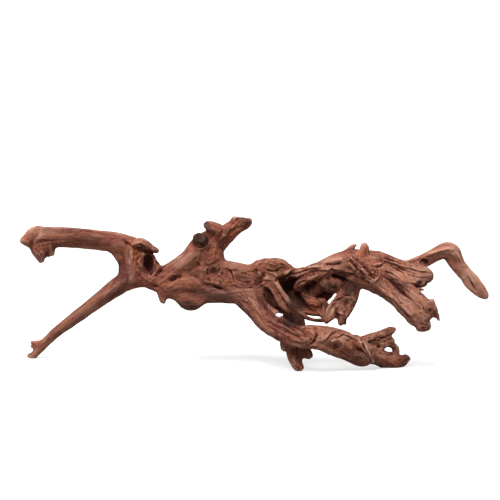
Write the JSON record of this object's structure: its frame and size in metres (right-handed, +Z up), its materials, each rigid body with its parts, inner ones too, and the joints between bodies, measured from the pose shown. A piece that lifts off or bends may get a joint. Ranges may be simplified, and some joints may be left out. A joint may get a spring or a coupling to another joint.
{
  "type": "driftwood root",
  "caption": "Gnarled driftwood root with forked limbs, hollows and broken stubs, standing on three low points.",
  "frame": {"origin": "the middle of the bounding box at the surface that the root stands on", "axes": "+X along the root towards the limbs that split and hang, +Z up, -Y towards the viewer"},
  "size_m": [0.4708, 0.0998, 0.1473],
  "materials": {
    "driftwood": "matte weathered wood, red-brown with pale tan worn ridges and near-black hollows"
  },
  "bodies": {
    "root": {"driftwood_root": "driftwood"}
  },
  "joints": []
}
